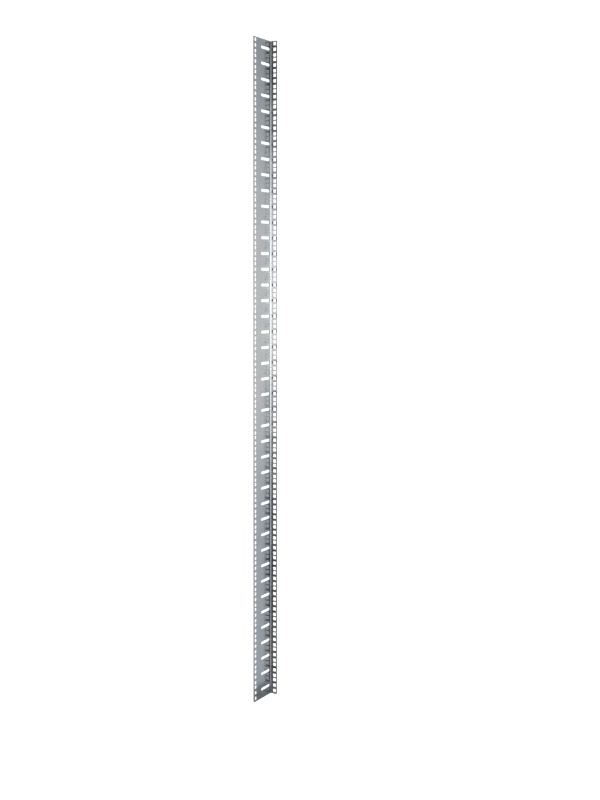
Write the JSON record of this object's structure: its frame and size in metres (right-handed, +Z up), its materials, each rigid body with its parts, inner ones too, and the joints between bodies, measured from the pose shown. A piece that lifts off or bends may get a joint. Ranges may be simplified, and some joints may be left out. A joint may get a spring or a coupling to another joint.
{
  "type": "rack mounting rail",
  "caption": "Folded galvanised steel angle that carries rack equipment: square cage-nut holes along both edges and crosswise slots for bolting it into a cabinet.",
  "frame": {"origin": "middle of the rail's outline on the floor it lies on", "axes": "+X along the rail towards its upper end, +Y across the wide web towards its free edge, +Z up from the web's outer face, the way the narrow flange points"},
  "size_m": [1.8714, 0.089, 0.022],
  "materials": {
    "galvanised_steel": "zinc-coated steel sheet, semi-matt pale grey with a faint spangle and bare punched edges"
  },
  "bodies": {
    "root": {"mounting_rail": "galvanised_steel"}
  },
  "joints": []
}
